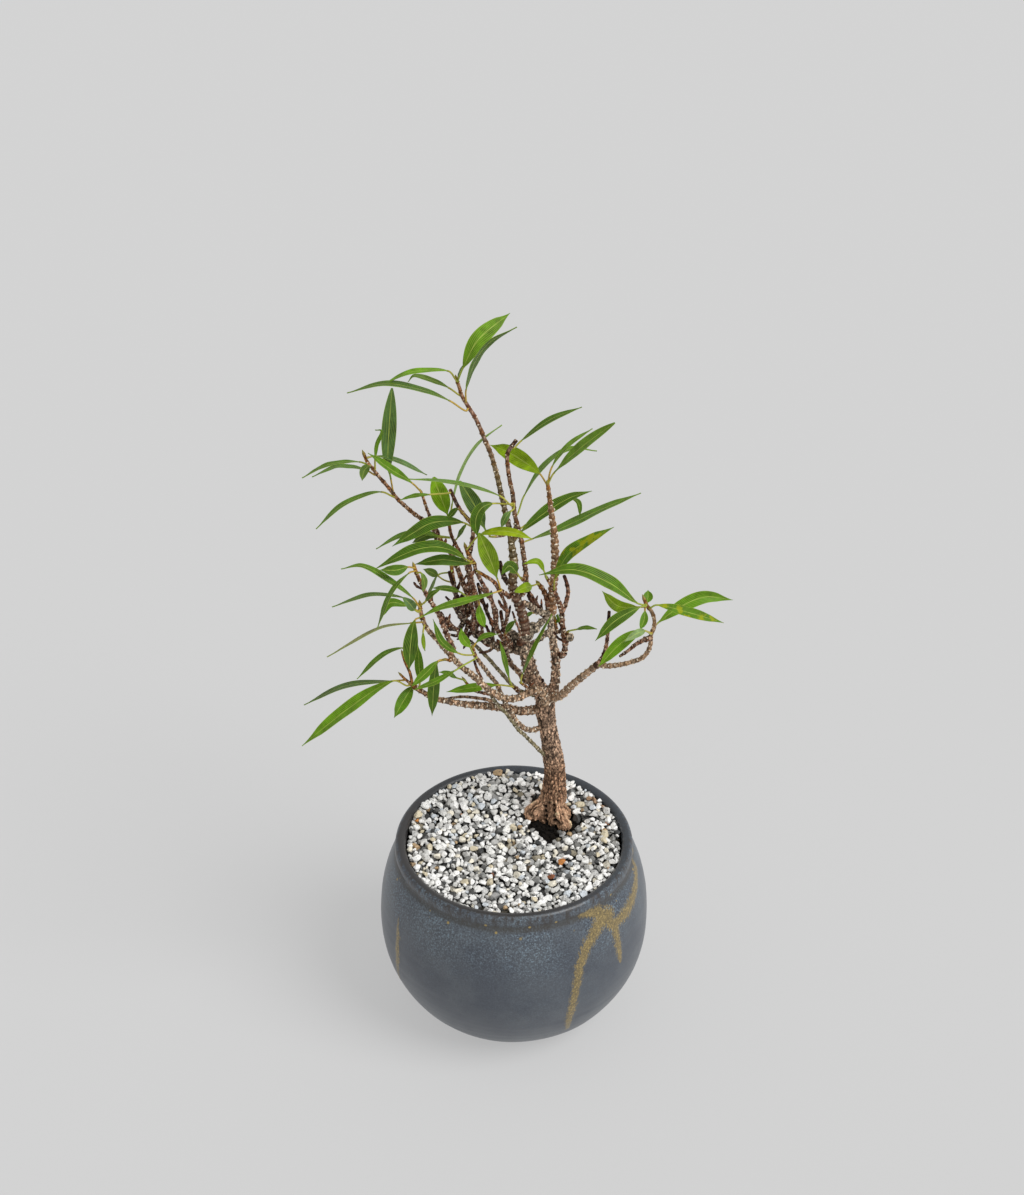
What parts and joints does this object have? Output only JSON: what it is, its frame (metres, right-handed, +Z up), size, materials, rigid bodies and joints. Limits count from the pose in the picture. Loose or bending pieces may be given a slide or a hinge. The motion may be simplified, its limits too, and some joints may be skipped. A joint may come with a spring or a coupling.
{
  "type": "willow leaf fig bonsai in a round pot",
  "caption": "Informal upright willow leaf fig bonsai with slender twigs and narrow drooping leaves, planted off centre in a round glazed pot topped with grit.",
  "frame": {"origin": "middle of the pot's flat underside, on the surface it stands on", "axes": "+Z up, the picture was taken from the -Y side, +X to the right in it; the tree is planted right of and behind the pot's axis"},
  "size_m": [0.1818, 0.12, 0.3449],
  "materials": {
    "glaze": "satin slate blue glaze with fine speckle and thin gold-tan runs",
    "drain_mesh": "matt moulded",
    "soil": "damp black potting soil",
    "gravel": "pale angular grit with a few orange and dark grains",
    "bark": "reddish to grey brown bark with pale lenticels",
    "leaf": "living leaf, smooth upper face with a soft sheen, pale midrib"
  },
  "bodies": {
    "root": {"pot": "glaze", "drain_mesh_1": "drain_mesh", "drain_mesh_2": "drain_mesh", "drain_mesh_3": "drain_mesh", "soil": "soil", "gravel": "gravel", "trunk_and_branches": "bark", "shoot_crown": "leaf", "shoot_upper_left": "leaf", "shoot_upper_twiglet": "leaf", "shoot_mid_left": "leaf", "shoot_tall_left": "leaf", "shoot_tall_middle": "leaf", "shoot_tall_right": "leaf", "shoot_crown_spur": "leaf", "shoot_front_left": "leaf", "shoot_front_orange": "leaf", "shoot_middle_spur": "leaf", "shoot_heart": "leaf", "shoot_orange_tip": "leaf", "shoot_right_low": "leaf", "shoot_fork_spray": "leaf", "shoot_dark_twiglet": "leaf", "shoot_back_spur": "leaf", "shoot_knot_leaf": "leaf", "shoot_olive_spur": "leaf", "shoot_stem_spur": "leaf", "shoot_speckled_stub": "leaf", "shoot_speckled_spur": "leaf", "shoot_speckled_up": "leaf", "shoot_speckled": "leaf", "shoot_loop": "leaf", "shoot_low_left": "leaf", "shoot_mid_spur": "leaf", "shoot_hanging_spur": "leaf", "shoot_dark_twig": "leaf"}
  },
  "joints": []
}
